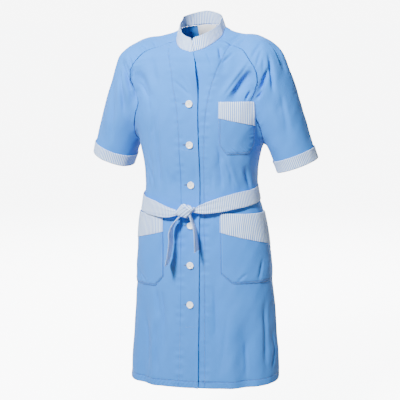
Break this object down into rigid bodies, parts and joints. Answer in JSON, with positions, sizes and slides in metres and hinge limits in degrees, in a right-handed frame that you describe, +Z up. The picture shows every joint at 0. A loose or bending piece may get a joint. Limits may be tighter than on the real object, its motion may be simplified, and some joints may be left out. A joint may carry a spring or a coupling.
{
  "type": "work smock",
  "caption": "Woman's knee-length work smock in worn, hollow form, with short raglan sleeves, band collar, patch pockets, buttoned front and a tied belt.",
  "frame": {"origin": "centre of the neck, 5 mm below the back of the neck seam, where the wearer's neck and shoulders hold the smock up", "axes": "+Z up along the body, -Y is the front with the buttons, +X is the wearer's left"},
  "size_m": [0.6601, 0.3488, 1.0593],
  "materials": {
    "blue_cloth": "plain-woven light blue poly-cotton, matte",
    "striped_cloth": "poly-cotton with fine white and blue stripes, matte",
    "label_cloth": "bare white woven label",
    "button_plastic": "white moulded, satin gloss"
  },
  "bodies": {
    "root": {"back": "blue_cloth", "front_right": "blue_cloth", "front_left": "blue_cloth", "sleeve_right": "blue_cloth", "sleeve_left": "blue_cloth", "chest_pocket": "blue_cloth", "hip_pocket_right": "blue_cloth", "hip_pocket_left": "blue_cloth", "cuff_right": "striped_cloth", "cuff_left": "striped_cloth", "collar": "striped_cloth", "chest_pocket_band": "striped_cloth", "hip_pocket_band_right": "striped_cloth", "hip_pocket_band_left": "striped_cloth", "belt": "striped_cloth", "belt_knot": "striped_cloth", "belt_tail_long": "striped_cloth", "belt_tail_short": "striped_cloth", "neck_label": "label_cloth", "button_1": "button_plastic", "button_2": "button_plastic", "button_3": "button_plastic", "button_4": "button_plastic", "button_5": "button_plastic", "button_6": "button_plastic"}
  },
  "joints": []
}
